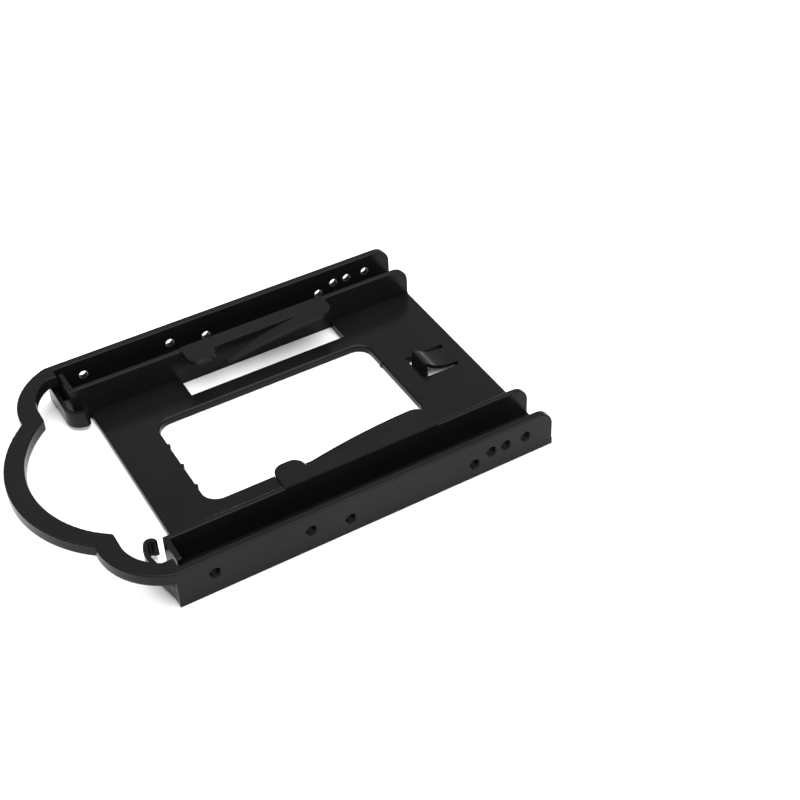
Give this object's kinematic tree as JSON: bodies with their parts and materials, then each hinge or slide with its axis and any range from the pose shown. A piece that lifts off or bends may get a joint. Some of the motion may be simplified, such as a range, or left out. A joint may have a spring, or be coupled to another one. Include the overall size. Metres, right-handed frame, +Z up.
{
  "type": "drive bay adapter bracket",
  "caption": "Flat moulded tray with side rails, scalloped bow handle, sprung hold-down ledges and a snap latch, carrying a small drive in a larger drive bay.",
  "frame": {"origin": "under the middle of the whole piece, on the plane it stands on", "axes": "+X along the rails towards the open end where the drive slides in, +Y across to the far rail, +Z up"},
  "size_m": [0.1507, 0.1016, 0.0132],
  "materials": {
    "black_plastic": "semi-gloss moulded black"
  },
  "bodies": {
    "root": {"bracket": "black_plastic"}
  },
  "joints": []
}
